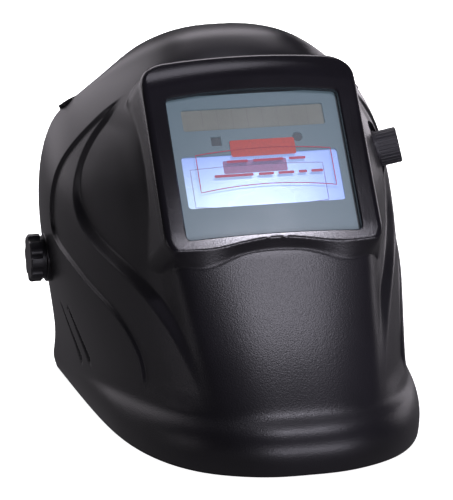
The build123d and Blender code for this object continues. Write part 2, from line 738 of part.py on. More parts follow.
# ---- all nodes -------------------------------------------------------------------------------
def nodes():
    parts = {
        "shell": shell(),
        "front_cover_lens": front_cover_lens(),
        "protective_film": protective_film(),
        "filter_case_front": filter_case_front(),
        "filter_case_rear": filter_case_rear(),
        "filter_glass": filter_glass(),
        "lcd_shutter": lcd_shutter(),
        "solar_panel": solar_panel(),
        "arc_sensor_square": arc_sensor(-1),
        "arc_sensor_round": arc_sensor(1),
        "circuit_board": circuit_board(),
        "battery_right": battery(-38.0),
        "battery_left": battery(38.0),
        "sensitivity_potentiometer": dial_potentiometer(-DIAL_P),
        "delay_potentiometer": dial_potentiometer(DIAL_P),
        "sensitivity_dial": dial(-DIAL_P),
        "delay_dial": dial(DIAL_P),
        "inner_cover_lens": inner_cover_lens(),
        "holder_frame": holder_frame(),
        "holder_latch_right": holder_latch(-LATCH_P),
        "holder_latch_left": holder_latch(LATCH_P),
        "latch_screw_right": latch_screw(-LATCH_P),
        "latch_screw_left": latch_screw(LATCH_P),
        "shade_backplate": shade_backplate(),
        "shade_knob": shade_knob(),
        "shade_shaft": shade_shaft(),
        "shade_nut": shade_nut(),
        "shade_potentiometer": shade_potentiometer(),
        "headband": headband(),
        "crown_pin_right": crown_pin(-6),
        "crown_pin_left": crown_pin(6),
        "sweatband": sweatband(),
        "rear_pad": rear_pad(),
        "nape_housing_inner": nape_housing_inner(),
        "nape_housing_outer": nape_housing_outer(),
        "housing_screw_right": housing_screw(-28),
        "housing_screw_left": housing_screw(28),
        "nape_pinion": nape_pinion(),
        "nape_knob": nape_knob(),
    }
    bolt = pivot_bolt()
    washer = friction_washer()
    plate = stop_plate()
    for side, word in ((-1, "right"), (1, "left")):
        parts["tension_knob_" + word] = tension_knob(side)
        parts["pivot_bolt_" + word] = bolt if side > 0 else mirrored(bolt)
        parts["friction_washer_" + word] = washer if side > 0 else mirrored(washer)
        parts["stop_plate_" + word] = plate if side > 0 else mirrored(plate)
        parts["crown_strap_" + word] = crown_strap(side)
        parts["strap_rivet_" + word] = strap_rivet(side)
        parts["rack_" + word] = rack(side)
    return parts


def main():
    os.makedirs("parts", exist_ok=True)
    for name, part in nodes().items():
        export_step(part.moved(Location((0, SHIFT_Y, 0))), f"parts/{name}.step")


if __name__ == "__main__":
    main()
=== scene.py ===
"""Looks of the auto-darkening welding helmet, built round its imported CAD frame.

Metres, +Z up, the wearer looks along -Y and their left side is +X. The moulded shell's formulas
are written in millimetres in the shell's own frame and moved to the frame by at_place().
"""
import json
import math

import bmesh
import bpy
import numpy as np
from mathutils import Matrix, Vector


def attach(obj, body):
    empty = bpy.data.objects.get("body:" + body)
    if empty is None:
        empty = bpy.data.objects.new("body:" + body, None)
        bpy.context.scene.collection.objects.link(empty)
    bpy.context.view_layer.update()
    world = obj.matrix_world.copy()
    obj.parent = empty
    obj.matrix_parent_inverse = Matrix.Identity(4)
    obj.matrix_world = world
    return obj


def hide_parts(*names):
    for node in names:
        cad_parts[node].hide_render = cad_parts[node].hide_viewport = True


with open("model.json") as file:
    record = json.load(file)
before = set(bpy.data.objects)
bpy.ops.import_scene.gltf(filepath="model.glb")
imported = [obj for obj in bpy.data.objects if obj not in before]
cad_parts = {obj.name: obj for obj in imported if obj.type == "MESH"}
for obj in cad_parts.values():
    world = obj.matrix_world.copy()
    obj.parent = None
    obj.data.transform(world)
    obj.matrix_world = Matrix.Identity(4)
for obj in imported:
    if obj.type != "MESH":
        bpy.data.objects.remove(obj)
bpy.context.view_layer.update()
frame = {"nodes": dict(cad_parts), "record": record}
NODES = frame["nodes"]

MM = 0.001
SHIFT_Y = 49.6            # the shell's own frame sits this far behind the origin, mm

# ---- moulded shell, millimetres --------------------------------------------------------------
WALL = 2.5
FACE_WALL = 4.3
RIDGE_STEP = 1.8
BEVEL_STEP = 5.0
FACE_TILT = 37.9
FACE_Y = -130.0
FACE_Z = 153.0
HOOD_HALF_W = 63.5
HOOD_TOP = 76.5
HOOD_CORNER = 15.0
HOOD_DROP = 7.0
HOOD_EDGE = 3.6           # radius of the hood's outer edge
HOOD_FOOT = -51.0         # the hood's lower edge, measured up its face
HOOD_FOOT_DIP = 6.8       # how far that edge dips at DIP_X from the middle
DIP_X = 38.0
FLAT_FOOT = -44.2         # lower end of the flat face, above its bevel
FLAT_TOP = 59.5           # from here the face rolls back
HOOD_BLEND = 0.8          # softness of the line between hood and shell
VIEW_W = 102.0
VIEW_H = 90.0
VIEW_UP = 2.2
VIEW_ARCH = 4.0
VIEW_BOW = 1.6
POCKET = (-58.5, 58.5, -45.0, 52.0)
PIVOT_Y = 18.0
PIVOT_Z = 72.0
SEAT_OUT = 106.6
SEAT_IN = 100.8
STOP_R = 21.0
STOP_AT = 196.0
BOSS_R = 15.2
WASHER_R = 14.4           # counterbore for the friction washer
BOLT_HOLE_R = 4.05
PEG_R = 2.0
POST_X = 34.0             # latch posts, in the window face
POST_Q = 58.0
HOOK_X = 36.0             # hooks under the cartridge holder
HOOK_W = 14.0
SHADE_AT = (83.5, -54.0, 142.0)
SHADE_AXIS = (0.95, -0.22, 0.222)
SHADE_ACROSS = (0.2277, 0, -0.974)
SHADE_SEAT_W = 35.0
SHADE_SEAT_H = 26.0
SHADE_HOLE_R = 3.6
HALF_COLUMNS = 140
SHELL_ROWS = 260

ROWS = (
    (-229, -1, 99, 20, -4),
    (-234, 8, 101, 22, 2),
    (-234, 18, 102, 24, 7),
    (-227, 27, 101, 26, 11),
    (-218, 30, 100, 28, 15),
    (-213, 38, 99, 30, 24),
    (-198, 60, 101, 33, 44),
    (-176, 86, 104, 36, 70),
    (-156, 110, 106, 38, 94),
    (-131, 144, 106, 38, 115),
    (-106, 180, 104, 34, 136),
    (-84, 203, 100, 27, 152),
    (-66, 215, 96, 18, 163),
    (-32, 225, 91, 8, 170),
    (22, 210, 87, 4, 172),
)
SECTIONS = {
    0: ((.20, .40, .59, .76, .88, .94, .97), (.00, .03, .08, .18, .33, .53, .77)),
    4: ((.20, .38, .55, .72, .86, .96, 1.0), (.00, .02, .07, .19, .36, .58, .80)),
    7: ((.20, .38, .55, .70, .85, .98, 1.03), (.00, .01, .04, .13, .32, .56, .80)),
    9: ((.20, .40, .57, .68, .81, .95, 1.03), (.00, .00, .02, .09, .27, .50, .76)),
    10: ((.20, .40, .56, .66, .79, .92, .99), (.00, .01, .03, .11, .31, .55, .80)),
    12: ((.14, .28, .42, .58, .74, .87, .95), (.01, .04, .12, .28, .48, .68, .86)),
    14: ((.13, .27, .42, .57, .70, .82, .92), (.00, .04, .13, .28, .50, .74, .88)),
}
REAR_LINE = ((-120, 260), (-66, 192), (-42, 163), (-16, 138), (-10, 112), (-12, 93), (-44, 88),
             (-84, 76), (-116, 70), (-146, 52), (-152, 36), (-156, 10), (-160, -60))
FRONT_LINE = ((-90, 250), (-58, 182), (-44, 160), (-43, 130), (-54, 112), (-84, 100), (-116, 94),
              (-144, 84), (-168, 70), (-186, 52), (-202, 34), (-212, 5), (-220, -60))
# two short tapered grooves low on each side, in the side view
GROOVES = (((-14.7, 50.7), (-55.0, 25.2)), ((-34.6, 53.5), (-72.5, 29.2)))
GROOVE_DEPTH = 1.5


def spline_weights(count, where):
    """Clamped cubic B-spline weights of `count` control values at the parameters `where`."""
    knots = np.concatenate([np.zeros(3), np.linspace(0, 1, count - 2), np.ones(3)])
    where = np.minimum(where, 1 - 1e-12)
    table = (where[:, None] >= knots[None, :-1]) & (where[:, None] < knots[None, 1:])
    table = table.astype(float)
    for degree in (1, 2, 3):
        raised = np.zeros((len(where), len(knots) - 1 - degree))
        for i in range(raised.shape[1]):
            rise = knots[i + degree] - knots[i]
            fall = knots[i + degree + 1] - knots[i + 1]
            if rise > 0:
                raised[:, i] += (where - knots[i]) / rise * table[:, i]
            if fall > 0:
                raised[:, i] += (knots[i + degree + 1] - where) / fall * table[:, i + 1]
        table = raised
    return table


def control_net():
    keys = sorted(SECTIONS)
    table = np.array([SECTIONS[k] for k in keys])
    net = []
    for row, (front_y, front_z, half_w, rear_y, rear_z) in enumerate(ROWS):
        width = [np.interp(row, keys, table[:, 0, i]) for i in range(7)]
        travel = [np.interp(row, keys, table[:, 1, i]) for i in range(7)]
        width = np.array([0] + width + [1])
        travel = np.array([0] + travel + [1])
        y = front_y + (rear_y - front_y) * travel
        z = front_z + (rear_z - front_z) * travel
        side = np.stack([half_w * width, y, z], -1)
        net.append(np.concatenate([side[:0:-1] * (-1, 1, 1), side]))
    return np.array(net)


NET = control_net()


def smooth_at(us, vs):
    """Points of the smooth shell at matching arrays of parameters."""
    shape = np.shape(us)
    across = spline_weights(NET.shape[1], np.ravel(us))
    up = spline_weights(NET.shape[0], np.ravel(vs))
    rows = np.einsum("nj,ijk->nik", across, NET, optimize=True)
    return np.einsum("ni,nik->nk", up, rows).reshape(shape + (3,))


def outward_at(us, vs):
    step = 1e-3
    along = smooth_at(np.clip(us + step, 0, 1), vs) - smooth_at(np.clip(us - step, 0, 1), vs)
    up = smooth_at(us, np.clip(vs + step, 0, 1)) - smooth_at(us, np.clip(vs - step, 0, 1))
    normal = np.cross(along, up)
    return normal / np.linalg.norm(normal, axis=-1, keepdims=True)


def ease(t):
    t = np.clip(t, 0, 1)
    return t * t * (3 - 2 * t)


def near(value, centre, reach):
    """1 at the centre, falling off smoothly over the reach."""
    return np.exp(-((value - centre) / reach) ** 2)


def ramp(t):
    """Rises from 0 to 1 with nearly straight flanks and slightly softened ends."""
    return 0.65 * np.clip(t, 0, 1) + 0.35 * ease(t)


def signed_distance(y, z, line):
    """Distance in the side view from a smooth line, positive on its rear side."""
    line = np.array(line, float)
    line = spline_weights(len(line), np.linspace(0, 1, 60)) @ line
    nearest = np.full(y.shape, 1e9)
    side = np.ones(y.shape)
    for start, end in zip(line[:-1], line[1:]):
        run = end - start
        t = np.clip(((y - start[0]) * run[0] + (z - start[1]) * run[1]) / (run @ run), 0, 1)
        dy = y - start[0] - t * run[0]
        dz = z - start[1] - t * run[1]
        closer = np.hypot(dy, dz) < nearest
        side = np.where(closer, np.sign(run[0] * dz - run[1] * dy), side)
        nearest = np.where(closer, np.hypot(dy, dz), nearest)
    return nearest * side


def side_masks(points):
    """Where the side panels' steps show, and the distances from their two lines."""
    half = np.abs(points[..., 0])
    y = points[..., 1]
    z = points[..., 2]
    on_side = ease((half - 44 - (z - 36) * 0.12) / 20)
    shown = on_side * (1 - ease((z - 168) / 22)) * ease((z - 30) / 12)
    return shown, signed_distance(y, z, REAR_LINE), signed_distance(y, z, FRONT_LINE)


def groove_reach(points, line):
    """Distance from a groove's centre line as a share of its width, which grows downwards."""
    start = np.array(line[0])
    run = np.array(line[1]) - start
    rel = points[..., 1:] - start
    t = np.clip(rel @ run / (run @ run), 0, 1)
    away = np.linalg.norm(rel - t[..., None] * run, axis=-1)
    reach = away / (0.5 + 1.6 * t)
    return np.where(np.abs(points[..., 0]) > 70, reach, 9.0)


def side_recess(points):
    """How far the side panels sit below the rear layer, with the short grooves."""
    shown, from_rear, from_front = side_masks(points)
    z = points[..., 2]
    rear = ramp((from_rear + 0.8) / 1.6)
    front = ramp((from_front + 4.2) / 5.4)
    front_step = 1 + (BEVEL_STEP - 1) * ease((z - 28) / 60) * (1 - 0.9 * ease((z - 100) / 45))
    depth = shown * (RIDGE_STEP * (1 - rear) + front_step * (1 - front))
    for line in GROOVES:
        depth = depth + GROOVE_DEPTH * np.clip(1 - groove_reach(points, line) ** 2, 0, 1)
    return depth


def face_axes():
    tilt = math.radians(FACE_TILT)
    up = np.array([0, math.sin(tilt), math.cos(tilt)])
    out = np.array([0, -math.cos(tilt), math.sin(tilt)])
    return np.array([0, FACE_Y, FACE_Z]), up, out


def hood_foot(half):
    """Lower edge of the hood, which dips on both sides of its middle."""
    return HOOD_FOOT - HOOD_FOOT_DIP * near(half, DIP_X, 15.0)


def hood_outside(half, q):
    """Distance outside the hood's outline, negative inside it."""
    foot = hood_foot(half)
    top = HOOD_TOP - 2.0 * (half / 50) ** 2
    beyond = np.where(q > 0, q - top + HOOD_CORNER, foot - 3 + HOOD_CORNER - q)
    across = np.clip(half - HOOD_HALF_W + HOOD_CORNER, 0, None)
    return np.hypot(across, np.clip(beyond, 0, None)) - HOOD_CORNER


def raise_hood(points):
    """Lift the points inside the hood outline up to the flat window face."""
    centre, up, out = face_axes()
    rel = points - centre
    half = np.abs(rel[..., 0])
    q = rel @ up
    w = rel @ out
    face_end = FLAT_FOOT - 5.0 * ease(half / 42)
    foot = hood_foot(half)
    past = np.clip(q - FLAT_TOP + 5.5 * (half / 56) ** 2, 0, None)
    roll = -past * 0.10 - past ** 2 / 75
    bevel = -HOOD_DROP * np.clip((face_end - q) / (face_end - foot), 0, 4)
    outside = hood_outside(half, q)
    turn = np.clip(outside + HOOD_EDGE, 0, 0.986 * HOOD_EDGE)
    edge = np.sqrt(HOOD_EDGE ** 2 - turn ** 2) - HOOD_EDGE
    edge = edge - 6 * np.clip(outside + 0.014 * HOOD_EDGE, 0, None)
    height = roll + bevel + edge
    mix = np.clip(0.5 + 0.5 * (height - w) / HOOD_BLEND, 0, 1)
    lift = (height - w) * mix + HOOD_BLEND * mix * (1 - mix)
    lift = np.where((q > 100) | (q < -85) | (outside > 12), 0, lift)
    return points + out * lift[..., None]


def across_density(points):
    """Samples per millimetre wanted along a row: more at the hood's edge, steps and grooves."""
    centre, up, _ = face_axes()
    rel = points - centre
    half = np.abs(rel[..., 0])
    q = rel @ up
    shown, from_rear, from_front = side_masks(points)
    in_front = ease((q + 95) / 20) * (1 - ease((q - 80) / 25))
    hood = in_front * near(half, HOOD_HALF_W - 1.0, 4.0)
    steps = np.maximum(near(from_rear, 0, 1.6), 0.8 * near(from_front, -1.5, 3.8)) * shown
    groove = np.zeros(half.shape)
    for line in GROOVES:
        groove = np.maximum(groove, near(groove_reach(points, line), 0, 1.6))
    return 0.42 + 1.1 * hood + 1.3 * steps + 1.0 * groove


def resample(values, weights, count):
    """Parameters that split the running total of the weights evenly."""
    total = np.concatenate([[0], np.cumsum((weights[1:] + weights[:-1]) / 2)])
    return np.interp(np.linspace(0, total[-1], count), total, values)


def shell_parameters():
    """(u, v) of every grid point of the left half, fitted to the shell's features."""
    fine_u = np.linspace(0.5, 1, 700)
    low = np.linspace(0, 0.16, 80)
    heights = smooth_at(*np.broadcast_arrays(fine_u[None, :], low[:, None]))[..., 2]
    floor_v = np.array([np.interp(0, heights[:, i], low) for i in range(len(fine_u))])
    fine_v = np.linspace(0, 1, 900)
    column = smooth_at(np.full(len(fine_v), 0.56), fine_v)
    centre, up, _ = face_axes()
    q = (column - centre) @ up
    length = np.linalg.norm(np.gradient(column, axis=0), axis=1)
    wanted = 0.40 + 0.55 * near(q, -52, 9) + 0.8 * near(q, HOOD_TOP - 3, 6) + 0.25 * near(q, 59, 5)
    levels = resample(fine_v, wanted * length, SHELL_ROWS + 1)
    us = []
    vs = []
    for level in levels:
        v_row = floor_v + (1 - floor_v) * level
        points = smooth_at(fine_u, v_row)
        step = np.linalg.norm(np.gradient(points, axis=0), axis=1)
        row = resample(fine_u, across_density(points) * step, HALF_COLUMNS + 1)
        us.append(row)
        vs.append(np.interp(row, fine_u, v_row))
    return np.array(us), np.array(vs)


def both_halves(grid):
    """Whole grid from its left half, whose first column is the middle line."""
    return np.concatenate([grid[:, :0:-1] * (-1, 1, 1), grid], 1)


def loop_of(index):
    """The border of an index grid, once round."""
    return np.concatenate([index[0, :-1], index[:-1, -1], index[-1, :0:-1], index[:0:-1, 0]])


def quads(index, flip=False):
    a = index[:-1, :-1].ravel()
    b = index[:-1, 1:].ravel()
    c = index[1:, 1:].ravel()
    d = index[1:, :-1].ravel()
    order = (d, c, b, a) if flip else (a, b, c, d)
    return np.stack(order, 1).tolist()


def border_directions(skin):
    """Unit steps outwards over the skin's free borders, none along the floor edge."""
    beyond = np.zeros(skin.shape)
    beyond[:, -1] = skin[:, -1] - skin[:, -3]
    beyond[:, 0] = skin[:, 0] - skin[:, 2]
    beyond[-1] = skin[-1] - skin[-3]
    beyond[0] = 0
    size = np.linalg.norm(beyond, axis=-1, keepdims=True)
    return np.where(size > 0, beyond / np.maximum(size, 1e-9), 0)


def shell_solid():
    """Closed moulding: outer skin, inner skin at half the resolution and a rounded border."""
    us, vs = shell_parameters()
    smooth = smooth_at(us, vs)
    normal = outward_at(us, vs)
    sunk = smooth - normal * side_recess(smooth)[..., None]
    outer = both_halves(raise_hood(sunk))
    inner = both_halves(sunk - WALL * normal)
    outer[..., 2] = np.maximum(outer[..., 2], 0)
    outer[0, :, 2] = 0
    inner[..., 2] = np.maximum(inner[..., 2], 0)
    inner[0, :, 2] = 0
    rows, columns = outer.shape[:2]
    outer_index = np.arange(rows * columns).reshape(rows, columns)
    points = [outer.reshape(-1, 3)]
    count = rows * columns
    faces = quads(outer_index)
    coarse = inner[::2, ::2]
    inner_index = count + np.arange(coarse.shape[0] * coarse.shape[1]).reshape(coarse.shape[:2])
    points.append(coarse.reshape(-1, 3))
    count += coarse.shape[0] * coarse.shape[1]
    faces += quads(inner_index, flip=True)
    rim = loop_of(outer_index)
    flat_outer = outer.reshape(-1, 3)[rim]
    flat_inner = inner.reshape(-1, 3)[rim]
    flat_beyond = border_directions(outer).reshape(-1, 3)[rim]
    previous = rim
    for angle in (45, 90, 135):
        turn = math.radians(angle)
        middle = (flat_outer + flat_inner) / 2 + (flat_outer - flat_inner) / 2 * math.cos(turn)
        ring = middle + flat_beyond * math.sin(turn)
        ring[:, 2] = np.maximum(ring[:, 2], 0)
        points.append(ring)
        index = count + np.arange(len(rim))
        count += len(rim)
        for k in range(len(rim)):
            n = (k + 1) % len(rim)
            faces.append([previous[n], previous[k], index[k], index[n]])
        previous = index
    inside = loop_of(inner_index)
    for k in range(len(inside)):
        n = (k + 1) % len(inside)
        a, b, c = previous[2 * k], previous[2 * k + 1], previous[(2 * k + 2) % len(rim)]
        faces.append([b, a, inside[k]])
        faces.append([b, inside[k], inside[n]])
        faces.append([c, b, inside[n]])
    return np.concatenate(points), faces


# ---- mesh helpers ------------------------------------------------------------------------------
def at_place(points):
    """From the shell's own frame in millimetres to the frame in metres."""
    return (np.asarray(points, float) + (0, SHIFT_Y, 0)) * MM


def new_piece(name, points, faces, smooth=True):
    mesh = bpy.data.meshes.new(name)
    mesh.from_pydata(np.asarray(points, float).tolist(), [], [list(map(int, f)) for f in faces])
    mesh.validate()
    mesh.update()
    for polygon in mesh.polygons:
        polygon.use_smooth = smooth
    piece = bpy.data.objects.new(name, mesh)
    bpy.context.scene.collection.objects.link(piece)
    return piece


def outward_faces(piece):
    work = bmesh.new()
    work.from_mesh(piece.data)
    bmesh.ops.recalc_face_normals(work, faces=work.faces)
    work.to_mesh(piece.data)
    work.free()


def stacked(name, loops):
    """Closed solid through matching loops of points, capped at both ends."""
    count = len(loops[0])
    points = np.concatenate([np.asarray(loop, float) for loop in loops])
    faces = [list(range(count))[::-1]]
    for level in range(len(loops) - 1):
        for k in range(count):
            n = (k + 1) % count
            low = level * count
            faces.append([low + k, low + n, low + count + n, low + count + k])
    last = (len(loops) - 1) * count
    faces.append(list(range(last, last + count)))
    piece = new_piece(name, points, faces)
    outward_faces(piece)
    return piece


def applied(piece):
    """Turns the piece's modifiers into its mesh."""
    bpy.context.view_layer.update()
    graph = bpy.context.evaluated_depsgraph_get()
    mesh = bpy.data.meshes.new_from_object(piece.evaluated_get(graph))
    piece.modifiers.clear()
    before = piece.data
    piece.data = mesh
    bpy.data.meshes.remove(before)


def cut_or_join(target, tool, operation):
    """Boolean of the target with the tool, which is used up."""
    modifier = target.modifiers.new("step", "BOOLEAN")
    modifier.operation = operation
    modifier.solver = "MANIFOLD"
    modifier.object = tool
    applied(target)
    bpy.data.objects.remove(tool)


def face_to_frame(points):
    """(across, up, out) in the window face to the frame, metres."""
    centre, up, out = face_axes()
    points = np.asarray(points, float)
    place = centre + points[..., :1] * (1, 0, 0) + points[..., 1:2] * up + points[..., 2:] * out
    return at_place(place)


def arc_points(cx, cy, radius, start, end, steps):
    turn = np.radians(np.linspace(start, end, steps))
    return np.stack([cx + radius * np.cos(turn), cy + radius * np.sin(turn)], 1)


def rounded_box(x0, x1, y0, y1, radius, steps=6):
    corners = (
        (x1 - radius, y1 - radius, 0),
        (x0 + radius, y1 - radius, 90),
        (x0 + radius, y0 + radius, 180),
        (x1 - radius, y0 + radius, 270),
    )
    return np.concatenate([arc_points(x, y, radius, a, a + 90, steps) for x, y, a in corners])


def lifted(outline, height):
    return np.column_stack([outline, np.full(len(outline), height)])


def view_outline(grow):
    """Window opening with an arched top and a gently bowed bottom."""
    outline = rounded_box(
        -VIEW_W / 2 - grow, VIEW_W / 2 + grow,
        VIEW_UP - VIEW_H / 2 - grow, VIEW_UP + VIEW_H / 2 + grow, 3.0 + grow)
    dense = []
    for here, after in zip(outline, np.roll(outline, -1, 0)):
        dense.append(here)
        if abs(after[0] - here[0]) > 50 or abs(after[1] - here[1]) > 50:
            for share in np.linspace(0, 1, 26)[1:-1]:
                dense.append(here + (after - here) * share)
    dense = np.array(dense)
    bow = 1 - (dense[:, 0] / (VIEW_W / 2 + grow)) ** 2
    rise = np.where(dense[:, 1] > VIEW_UP, VIEW_ARCH, VIEW_BOW)
    dense[:, 1] += rise * bow * (np.abs(dense[:, 1] - VIEW_UP) > VIEW_H / 2 - 3.1)
    return dense


def along_x(radius, x0, x1, y=PIVOT_Y, z=PIVOT_Z, steps=64, side=1, chamfer=0.0):
    """Round bar along X in the shell's own frame, mirrored for side -1."""
    loops = []
    ends = [(x0, radius), (x1 - chamfer, radius)]
    if chamfer:
        ends.append((x1, radius - chamfer))
    for x, r in ends:
        ring = arc_points(y, z, r, 0, 360 * (1 - 1 / steps), steps)
        loops.append(at_place(np.column_stack([np.full(steps, side * x), ring])))
    return stacked("tool", loops)


def shade_matrix():
    """The shade control's frame: its plane's axes and origin, millimetres in the shell's frame."""
    out = np.array(SHADE_AXIS) / np.linalg.norm(SHADE_AXIS)
    across = np.array(SHADE_ACROSS)
    across = across - out * (across @ out)
    across = across / np.linalg.norm(across)
    return np.array(SHADE_AT), across, np.cross(out, across), out


def shade_to_frame(points):
    origin, across, up, out = shade_matrix()
    place = origin + points[:, :1] * across + points[:, 1:2] * up + points[:, 2:] * out
    return at_place(place)


def prism(to_frame, levels):
    """Closed tool through (outline, height) levels that `to_frame` puts in place."""
    return stacked("tool", [to_frame(lifted(outline, height)) for outline, height in levels])


def face_prism(outline, *heights):
    return prism(face_to_frame, [(outline, height) for height in heights])


def shade_prism(outline, *heights):
    return prism(shade_to_frame, [(outline, height) for height in heights])


def cut_window(shell):
    """Cartridge pocket behind, opening in front, and the shelf that closes the slit above."""
    pocket = rounded_box(*POCKET, 3.0)
    cut_or_join(shell, face_prism(pocket, -30, -FACE_WALL), "DIFFERENCE")
    edge = 0.9
    opening = ((0.0, -FACE_WALL - 1), (0.0, -edge), (edge, 0.0), (edge, 8.0))
    levels = [(view_outline(grow), height) for grow, height in opening]
    cut_or_join(shell, prism(face_to_frame, levels), "DIFFERENCE")
    shelf = rounded_box(-55.0, 55.0, 50.7, 54.0, 0.5, 3)
    cut_or_join(shell, face_prism(shelf, -16.4, -6.0), "UNION")


def add_pivot(shell, side):
    """Seat of a tension knob with its counterbore, bolt hole and stop peg."""
    angle = math.radians(STOP_AT)
    peg = (PIVOT_Y + STOP_R * math.cos(angle), PIVOT_Z + STOP_R * math.sin(angle))
    boss = along_x(BOSS_R, SEAT_IN, SEAT_OUT, side=side, chamfer=0.4)
    cut_or_join(shell, boss, "UNION")
    cut_or_join(shell, along_x(WASHER_R, 92, SEAT_IN, side=side), "DIFFERENCE")
    cut_or_join(shell, along_x(BOLT_HOLE_R, 90, 120, side=side), "DIFFERENCE")
    cut_or_join(shell, along_x(PEG_R, 96.3, 101.5, *peg, 32, side), "UNION")


def add_holder_mounts(shell, side):
    """Latch post above the cartridge and hook below it."""
    post = arc_points(side * POST_X, POST_Q, 4.0, 0, 350, 36)
    cut_or_join(shell, face_prism(post, -19.2, -6.0), "UNION")
    bore = arc_points(side * POST_X, POST_Q, 1.6, 0, 345, 24)
    cut_or_join(shell, face_prism(bore, -20, -12.0), "DIFFERENCE")
    left = side * HOOK_X - HOOK_W / 2
    leg = rounded_box(left, left + HOOK_W, -57.5, -53.5, 0.6, 3)
    cut_or_join(shell, face_prism(leg, -21.6, -7.5), "UNION")
    lip = rounded_box(left, left + HOOK_W, -57.5, -48.5, 0.6, 3)
    cut_or_join(shell, face_prism(lip, -21.6, -19.4), "UNION")


def shade_outline(grow, radius):
    half_w = SHADE_SEAT_W / 2 + grow
    half_h = SHADE_SEAT_H / 2 + grow
    return rounded_box(-half_w, half_w, -half_h, half_h, radius, 12)


def add_shade_seat(shell):
    """Flat seat for the shade knob's base plate, cleared in front, with the shaft's hole."""
    base = shade_outline(0, 12.5)
    levels = [(base, -4.0), (base, 1.0), (shade_outline(-0.6, 11.9), 1.6)]
    cut_or_join(shell, prism(shade_to_frame, levels), "UNION")
    cut_or_join(shell, shade_prism(shade_outline(0.5, 13), 1.6, 13.6), "DIFFERENCE")
    hole = arc_points(0, 0, SHADE_HOLE_R, 0, 350, 36)
    cut_or_join(shell, shade_prism(hole, -12, 6), "DIFFERENCE")


def build_shell():
    points, faces = shell_solid()
    shell = new_piece("shell_moulding", at_place(points), faces)
    outward_faces(shell)
    cut_window(shell)
    for side in (1, -1):
        add_pivot(shell, side)
        add_holder_mounts(shell, side)
    add_shade_seat(shell)
    shell.data.shade_smooth()
    shell.data.set_sharp_from_angle(angle=math.radians(38))
    return shell


# ---- materials ---------------------------------------------------------------------------------
MIX_FIRST, MIX_SECOND, MIX_RESULT = 6, 7, 2       # colour sockets of the mix node


class Nodes:
    """Short-hand for building one node material."""

    def __init__(self, name):
        self.material = bpy.data.materials.new(name)
        self.material.use_nodes = True
        self.tree = self.material.node_tree
        self.shader = self.tree.nodes["Principled BSDF"]
        self.place = self.add("ShaderNodeTexCoord").outputs["Object"]

    def add(self, kind, links=(), **values):
        node = self.tree.nodes.new(kind)
        for key, value in values.items():
            setattr(node, key, value)
        for socket, source in dict(links).items():
            if isinstance(source, bpy.types.NodeSocket):
                self.tree.links.new(source, node.inputs[socket])
            else:
                node.inputs[socket].default_value = source
        return node

    def noise(self, scale, detail=3.0, roughness=0.55, place=None):
        links = {"Vector": place or self.place, "Scale": scale, "Detail": detail,
                 "Roughness": roughness}
        return self.add("ShaderNodeTexNoise", links).outputs["Fac"]

    def cells(self, scale):
        links = {"Vector": self.place, "Scale": scale}
        return self.add("ShaderNodeTexVoronoi", links).outputs["Distance"]

    def spread(self, value, low, high, to_low, to_high):
        links = {"Value": value, "From Min": low, "From Max": high, "To Min": to_low,
                 "To Max": to_high}
        return self.add("ShaderNodeMapRange", links).outputs["Result"]

    def between(self, value, dark, light):
        """Mix of two colours; `dark` may be the output of another node."""
        if not isinstance(dark, bpy.types.NodeSocket):
            dark = (*dark, 1)
        links = {"Factor": value, MIX_FIRST: dark, MIX_SECOND: (*light, 1)}
        node = self.add("ShaderNodeMix", links, data_type="RGBA")
        return node.outputs[MIX_RESULT]

    def math(self, operation, a, b=0.0, c=0.0):
        return self.add("ShaderNodeMath", {0: a, 1: b, 2: c}, operation=operation).outputs[0]

    def bump(self, height, distance):
        links = {"Height": height, "Distance": distance, "Strength": 1.0}
        return self.add("ShaderNodeBump", links).outputs["Normal"]

    def wire(self, socket, source):
        self.tree.links.new(source, self.shader.inputs[socket])

    def put(self, **values):
        for socket, value in values.items():
            self.shader.inputs[socket.replace("_", " ")].default_value = value


def moulded(name, colour, roughness, grain, relief, tone=0.35):
    """Moulded plastic: fine eroded grain, faint flow marks and slightly uneven gloss."""
    m = Nodes(name)
    flow = m.noise(9.0, 4.0)
    colour = np.array(colour)
    blotch = m.spread(flow, 0.35, 0.65, 0, 1)
    m.wire("Base Color", m.between(blotch, colour * (1 - tone), colour * (1 + tone)))
    fine = m.noise(grain, 2.0)
    pits = m.cells(grain * 0.8)
    height = m.math("ADD", fine, m.math("MULTIPLY", pits, 0.6))
    m.wire("Normal", m.bump(height, relief))
    gloss = m.math("ADD", m.spread(flow, 0.3, 0.7, roughness - 0.03, roughness + 0.03),
                   m.math("MULTIPLY", fine, 0.05))
    m.wire("Roughness", gloss)
    return m.material


CHIN_FADE_Z = (0.106, 0.124)       # where the coarse chin gives way upwards, metres
CHIN_FADE_Y = (-0.095, -0.070)     # and backwards
HOOD_FADE = (0.009, 0.004)         # depths behind the hood's face where its polish sets in


